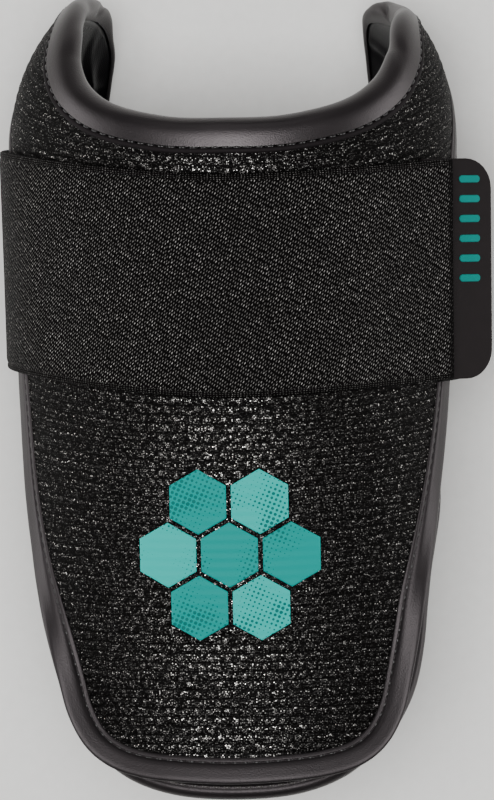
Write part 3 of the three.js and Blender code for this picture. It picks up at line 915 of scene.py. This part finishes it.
TWILL_TURN = 60.0
TWILL_UNEVEN = 0.28
# Light of every float: share of its draw, and what is added
EVEN_LIGHT = (0.09, 0.13)
GLINT_POWER = 7.0
GLINT_LIGHT = 0.36
# Light out from the middle of a float: two distances, share at each
FLOAT_ROUND = (0.05, 0.3, 1.0, 0.0)
# Distances from the free end between which the floats darken
SEALED_FROM = 1.7
SEALED_TO = 0.7
SEALED_LIGHT = 0.15
# Half section of the band from one edge: distance in from the edge, half thickness
STRAP_SECTION = (
    (0.0, 0.1),
    (0.1, 0.55),
    (0.4, 0.9),
    (0.9, 1.02),
    (1.4, 1.02),
    (1.75, 0.86),
    (2.2, 1.08),
    (3.0, 1.2),
    (8.0, 1.2),
    (16.0, 1.2),
)


def strap_bow(wrap):
    """How far the band bows towards the scoop at an angle."""
    bend = np.sin(np.radians(np.minimum(np.abs(wrap), 90))) ** STRAP_BOW_POWER
    return np.where(wrap < 0, STRAP_RISE_LEFT, STRAP_RISE_RIGHT) * bend


def strap_on_form(wrap, offset, bow):
    """Middle of the band where it follows the sleeve, at an offset across its width."""
    tuck = ease(np.abs(wrap), *STRAP_TUCKS)
    lift = STRAP_CLEARANCE + STRAP_THICKNESS / 2
    y = STRAP_Y + bow + offset
    return wall_point(wrap, y, -lift + (STRAP_TUCK_DEPTH + lift) * tuck)


def strap_corner(hand, offset, share):
    """Rear corner of the band, from the sleeve to the flat span: hand is 1 on the right, -1 on the left."""
    wrap = np.full(offset.shape, hand * STRAP_CORNER_AT)
    bow = STRAP_RISE_SEWN if hand > 0 else STRAP_RISE_LEFT
    start = strap_on_form(wrap, offset, bow)
    heading = unit(strap_on_form(wrap + hand, offset, bow) - start)
    drop = (start[..., 2] - STRAP_THICKNESS / 2) / -heading[..., 2]
    knee = start + heading * drop[..., None]
    end = knee - (hand * STRAP_CORNER_RUN, 0, 0)
    return start * (1 - share) ** 2 + knee * 2 * share * (1 - share) + end * share**2


def strap_heading(offset):
    """Direction of the band where it lifts off."""
    wraps = np.full(offset.shape, STRAP_LIFTS_AT)
    before, after = (
        strap_on_form(wrap, offset, strap_bow(wrap)) for wrap in (wraps - SLOPE_STEP, wraps + SLOPE_STEP)
    )
    return unit(after - before)


def strap_free(run, offset):
    """Middle of the band past the place where it lifts off the panel and runs straight."""
    wrap = np.full(offset.shape, STRAP_LIFTS_AT)
    return strap_on_form(wrap, offset, strap_bow(wrap)) + strap_heading(offset) * run


def strap_stations(offset):
    """Lines across the band, from its sewn end to its free end."""
    lines = []
    for wrap in np.arange(STRAP_SEWN_AT, STRAP_CORNER_AT, STRAP_STEP_DEGREES):
        lines.append(strap_on_form(np.full(offset.shape, wrap), offset, STRAP_RISE_SEWN))
    for share in np.linspace(0, 1, STRAP_CORNER_STEPS):
        lines.append(strap_corner(1, offset, share))
    right, left = strap_corner(1, offset, 1.0), strap_corner(-1, offset, 1.0)
    for share in np.linspace(0, 1, STRAP_REAR_STEPS)[1:-1]:
        lines.append(right * (1 - share) + left * share)
    for share in np.linspace(1, 0, STRAP_CORNER_STEPS):
        lines.append(strap_corner(-1, offset, share))
    for wrap in np.arange(-STRAP_CORNER_AT, STRAP_LIFTS_AT, STRAP_STEP_DEGREES)[1:]:
        wraps = np.full(offset.shape, wrap)
        lines.append(strap_on_form(wraps, offset, strap_bow(wraps)))
    for run in np.linspace(0, STRAP_FREE_END, STRAP_FREE_STEPS):
        lines.append(strap_free(run, offset))
    return np.array(lines)


def woven_elastic(length):
    """Covered rubber threads in a steep twill: black, with small slanting glints and a plain selvedge.

    The floats darken at the free end, which was cut with heat.
    """
    material, tree, shader = new_material("woven_elastic")
    weave = add_node(tree, "UVMap", uv_map="weave_mm")
    turned = add_node(tree, "Mapping", {"Vector": weave, "Rotation": (0, 0, np.radians(-TWILL_TURN))})
    floats = thread_cells(tree, turned, TWILL_LENGTH, TWILL_WIDTH, TWILL_UNEVEN, True)
    edge_floats = thread_cells(tree, weave, SELVEDGE_LENGTH, SELVEDGE_PITCH, SELVEDGE_UNEVEN)
    band = add_node(tree, "SeparateXYZ", [weave])
    off_middle = add_node(tree, "Math", [band.outputs["Y"]], operation="ABSOLUTE")
    at_edge = add_node(tree, "Math", [off_middle, STRAP_WIDTH / 2 - SELVEDGE], operation="GREATER_THAN")
    distance = add_node(tree, "Mix", {"Factor": at_edge, "A": floats, "B": edge_floats})
    on_float = add_node(tree, "MapRange", [distance, *FLOAT_ROUND], interpolation_type="SMOOTHSTEP")
    draw = add_node(tree, "SeparateColor", [floats.outputs["Color"]]).outputs["Green"]
    glint = add_node(tree, "Math", [draw, GLINT_POWER], operation="POWER")
    even_light = add_node(tree, "Math", [draw, *EVEN_LIGHT], operation="MULTIPLY_ADD")
    light = add_node(tree, "Math", [glint, GLINT_LIGHT, even_light], operation="MULTIPLY_ADD")
    edge_share = add_node(tree, "MapRange", {"Value": at_edge, "To Min": 1, "To Max": SELVEDGE_LIGHT})
    sealed = (length - SEALED_FROM, length - SEALED_TO, 1.0, SEALED_LIGHT)
    end_share = add_node(tree, "MapRange", [band.outputs["X"], *sealed], interpolation_type="SMOOTHSTEP")
    for share in (on_float, edge_share, end_share):
        light = add_node(tree, "Math", [light, share], operation="MULTIPLY")
    colours = {"Factor": light, "A": linear("#040303"), "B": linear("#d8d4d0")}
    sunk = {"Height": distance, "Strength": 0.6, "Distance": 0.2 * MM}
    set_inputs(tree, shader, {
        "Base Color": add_node(tree, "Mix", colours, data_type="RGBA"),
        "Roughness": add_node(tree, "MapRange", {"Value": light, "To Min": 0.7, "To Max": 0.45}),
        "Normal": add_node(tree, "Bump", sunk, invert=True),
        "Specular IOR Level": 0.03,
    })
    return material


section_in, section_half = np.array(STRAP_SECTION).T
strap_offset = np.concatenate([section_in - STRAP_WIDTH / 2, [0.0], STRAP_WIDTH / 2 - section_in[::-1]])
strap_half = np.concatenate([section_half, [STRAP_THICKNESS / 2], section_half[::-1]])
strap_middle = strap_stations(strap_offset)
strap_along = np.gradient(strap_middle, axis=0)
strap_across = np.gradient(strap_middle, axis=1)
strap_normal = unit(np.cross(strap_along, strap_across)) * strap_half[:, None]
strap_run = run_along(strap_middle[:, len(strap_offset) // 2])
strap_round = np.concatenate([strap_offset, strap_offset[::-1]])
strap_uv = np.stack(np.meshgrid(strap_run, strap_round, indexing="ij"), -1).reshape(-1, 2)
strap_faces = (strap_middle + strap_normal, strap_middle - strap_normal)
strap_mesh = loft("elastic_strap", *strap_faces, strap_uv)
strap = add_piece(strap_mesh, woven_elastic(strap_run[-1]), "elastic", "strap")


# Pull tab
# A moulded rubber plate sewn under the strap's free end, with rounded corners and a row of raised bars that
# give the fingers grip.

TAB_LENGTH = 14.5
TAB_TUCK = 8.0
TAB_THICKNESS = 1.8
TAB_CORNER = 8.0
TAB_ROOT_CORNER = 1.0
TAB_GAP = 0.4
TAB_EDGE_RADIUS = 0.6
GRIP_BARS = 6
GRIP_FIRST = 24.0
GRIP_PITCH = 5.3
GRIP_WIDTH = 6.6
GRIP_HEIGHT = 2.0
GRIP_RELIEF = 0.35
GRIP_CORNER = 0.95
GRIP_EDGE_RADIUS = 0.3
GRIP_MIDDLE = 7.2
PLATE_EDGE_STEPS = 6
PLATE_CORNER_STEPS = 9
PLATE_SHARP_ANGLE = 50.0
RUBBER_CLOUD = 5.0
RUBBER_GRIT = 0.3


def round_plate(low, high, radii, edge_radius, thickness):
    """A flat plate with rounded corners and edges, as outlines stacked from its underside to its top.

    The radii belong to the corners at low and at high along the plate.
    """
    turns = np.linspace(0, np.pi / 2, PLATE_EDGE_STEPS)
    insets = [*(edge_radius * (1 - np.sin(turns))), *(edge_radius * (1 - np.cos(turns)))]
    heights = [*(edge_radius * (1 - np.cos(turns))), *(thickness - edge_radius * (1 - np.sin(turns)))]
    near, far = radii
    corners = (
        (low[0] + near, low[1] + near, near, 180),
        (high[0] - far, low[1] + far, far, 270),
        (high[0] - far, high[1] - far, far, 0),
        (low[0] + near, high[1] - near, near, 90),
    )
    rings = []
    for inset, height in zip(insets, heights):
        ring = []
        for x, y, radius, start in corners:
            for turn in np.radians(np.linspace(start, start + 90, PLATE_CORNER_STEPS)):
                size = radius - inset
                ring.append((x + size * np.cos(turn), y + size * np.sin(turn), height))
        rings.append(ring)
    rings = np.array(rings)
    count, size = rings.shape[:2]
    ids = np.arange(count * size).reshape(count, size)
    sides = ring_quads(ids)[:, [0, 3, 2, 1]]
    return rings.reshape(-1, 3), [*sides.tolist(), ids[0, ::-1].tolist(), ids[-1].tolist()]


def plate_mesh(name, plates):
    """One mesh from plates, each given as points in the tab's own frame and faces."""
    mesh = bpy.data.meshes.new(name)
    points, faces = [], []
    for plate_points, plate_faces in plates:
        faces.extend([[corner + len(points) for corner in face] for face in plate_faces])
        points.extend((tab_origin + plate_points @ tab_axes).tolist())
    mesh.from_pydata((np.array(points) * MM).tolist(), [], faces)
    mesh.shade_smooth()
    mesh.set_sharp_from_angle(angle=np.radians(PLATE_SHARP_ANGLE))
    return mesh


def moulded_rubber(name, dark, light):
    """Soft rubber from a spark-eroded mould: an even matte face with a very fine texture."""
    material, tree, shader = new_material(name)
    place, _, colours = mottle(tree, RUBBER_CLOUD, 3, dark, light)
    grit = add_node(tree, "TexNoise", {"Vector": place, "Scale": 1 / (RUBBER_GRIT * MM), "Detail": 2})
    set_inputs(tree, shader, {
        "Base Color": colours,
        "Roughness": 0.7,
        "Normal": add_node(tree, "Bump", {"Height": grit, "Strength": 0.25, "Distance": 0.05 * MM}),
        "Specular IOR Level": 0.08,
    })
    return material


tab_middle = np.zeros(1)
tab_sides = strap_free(STRAP_FREE_END, np.array([-1.0, 1.0]) * STRAP_WIDTH / 2)
tab_across = unit(tab_sides[1] - tab_sides[0])
tab_normal = unit(np.cross(strap_heading(tab_middle)[0], tab_across))
tab_axes = np.array([np.cross(tab_across, tab_normal), tab_across, tab_normal])
tab_drop = STRAP_THICKNESS / 2 + TAB_GAP + TAB_THICKNESS
tab_origin = strap_free(STRAP_FREE_END, tab_middle)[0] - tab_normal * tab_drop
tab_low = (-TAB_TUCK, -STRAP_WIDTH / 2)
tab_high = (TAB_LENGTH, STRAP_WIDTH / 2)
tab_corners = (TAB_ROOT_CORNER, TAB_CORNER)
tab_plate = round_plate(tab_low, tab_high, tab_corners, TAB_EDGE_RADIUS, TAB_THICKNESS)
tab_rubber = moulded_rubber("moulded_rubber", "#161313", "#1b1718")
add_piece(plate_mesh("rubber_tab", [tab_plate]), tab_rubber, "tab", "pull_tab")
grip_plates = []
for bar in range(GRIP_BARS):
    grip_y = GRIP_FIRST - GRIP_PITCH * bar
    bar_low = (GRIP_MIDDLE - GRIP_WIDTH / 2, grip_y - GRIP_HEIGHT / 2)
    bar_high = (GRIP_MIDDLE + GRIP_WIDTH / 2, grip_y + GRIP_HEIGHT / 2)
    corners = (GRIP_CORNER, GRIP_CORNER)
    points, faces = round_plate(bar_low, bar_high, corners, GRIP_EDGE_RADIUS, 2 * GRIP_RELIEF)
    grip_plates.append((points + (0, 0, TAB_THICKNESS - GRIP_RELIEF), faces))
teal_rubber = moulded_rubber("teal_rubber", "#00665f", "#00706a")
add_piece(plate_mesh("tab_grip_bars", grip_plates), teal_rubber, "tab")


# Floor, lights and camera
# A pale paper floor below the guard, a broad soft box over it, one at each side and a weak one beyond the
# scoop, and a camera that looks down on the front from two metres, leaning a little towards the scoop.

CAMERA_PITCH = 3.0
CAMERA_YAW = 3.3
CAMERA_ROLL = -0.8
CAMERA_DISTANCE = 2000.0
CAMERA_TARGET = (0.0, 0.0, 50.0)
MM_PER_PIXEL = 0.27
PHOTO_SIZE = (494, 800)
TARGET_PIXEL = (234.5, 280.0)
SENSOR_WIDTH = 36.0
FLOOR_SIZE = 6.0
PAPER_FIBRE = 3.0
ROOM_COLOUR = "#d5d6da"
ROOM_LIGHT = 0.06
LIGHT_AIM = Vector((0, -0.03, 0.05))
# Soft boxes: name, place in metres, width, length, power in watts
SOFT_BOXES = (
    ("over_box", (-0.05, 0.05, 2.4), 1.4, 1.15, 76.0),
    ("left_box", (-1.5, -0.1, 0.35), 0.7, 1.6, 22.0),
    ("right_box", (1.5, -0.1, 0.3), 0.6, 1.6, 20.0),
    ("scoop_box", (0.0, 1.6, 1.1), 1.2, 0.5, 4.0),
)


def pale_paper():
    """Seamless background paper: off-white and fully matte."""
    material, tree, shader = new_material("pale_paper")
    colours = mottle(tree, PAPER_FIBRE, 3, "#dcdbd8", "#e6e5e2")[-1]
    set_inputs(tree, shader, {"Base Color": colours, "Roughness": 0.9})
    return material


def set_axes(thing, right, up, back):
    """Turns an object so that its own axes point these ways."""
    thing.rotation_mode = "QUATERNION"
    thing.rotation_quaternion = Matrix((right, up, back)).transposed().to_quaternion()


floor_mesh = bpy.data.meshes.new("floor")
floor_corners = np.array([(-1, -1, 0), (1, -1, 0), (1, 1, 0), (-1, 1, 0)]) * FLOOR_SIZE / 2
floor_mesh.from_pydata(floor_corners, [], [(0, 1, 2, 3)])
floor_mesh.materials.append(pale_paper())
floor = new_object("floor", floor_mesh)

for box_name, box_place, box_width, box_length, box_power in SOFT_BOXES:
    lamp = bpy.data.lights.new(box_name, "AREA")
    lamp.shape = "RECTANGLE"
    lamp.size = box_width
    lamp.size_y = box_length
    lamp.energy = box_power
    soft_box = new_object(box_name, lamp)
    soft_box.location = box_place
    aim = LIGHT_AIM - Vector(box_place)
    along_arm = abs(aim.y) > max(abs(aim.x), abs(aim.z))
    side = Vector((0, 0, 1)) if along_arm else Vector((0, 1, 0))
    ahead = aim.normalized()
    right = ahead.cross(side).normalized()
    set_axes(soft_box, right, right.cross(ahead), -ahead)

world = bpy.data.worlds.new("studio")
world.use_nodes = True
room = {"Color": linear(ROOM_COLOUR), "Strength": ROOM_LIGHT}
set_inputs(world.node_tree, world.node_tree.nodes["Background"], room)
bpy.context.scene.world = world

pitch, yaw, roll_turn = np.radians((CAMERA_PITCH, CAMERA_YAW, CAMERA_ROLL))
to_camera = unit(np.array([np.sin(yaw) * np.cos(pitch), np.sin(pitch), np.cos(pitch) * np.cos(yaw)]))
level_right = unit(np.cross((0, 1, 0), to_camera))
level_up = np.cross(to_camera, level_right)
camera_right = np.cos(roll_turn) * level_right + np.sin(roll_turn) * level_up
camera_up = -np.sin(roll_turn) * level_right + np.cos(roll_turn) * level_up
shift_right = (PHOTO_SIZE[0] / 2 - TARGET_PIXEL[0]) * MM_PER_PIXEL
shift_up = (TARGET_PIXEL[1] - PHOTO_SIZE[1] / 2) * MM_PER_PIXEL
camera_place = np.array(CAMERA_TARGET) + camera_right * shift_right + camera_up * shift_up
camera_place = camera_place + to_camera * CAMERA_DISTANCE
camera_data = bpy.data.cameras.new("camera")
camera_data.sensor_width = SENSOR_WIDTH
camera_data.lens = SENSOR_WIDTH * CAMERA_DISTANCE / (PHOTO_SIZE[1] * MM_PER_PIXEL)
camera = new_object("camera", camera_data)
camera.location = Vector(camera_place * MM)
set_axes(camera, camera_right, camera_up, to_camera)
bpy.context.scene.camera = camera
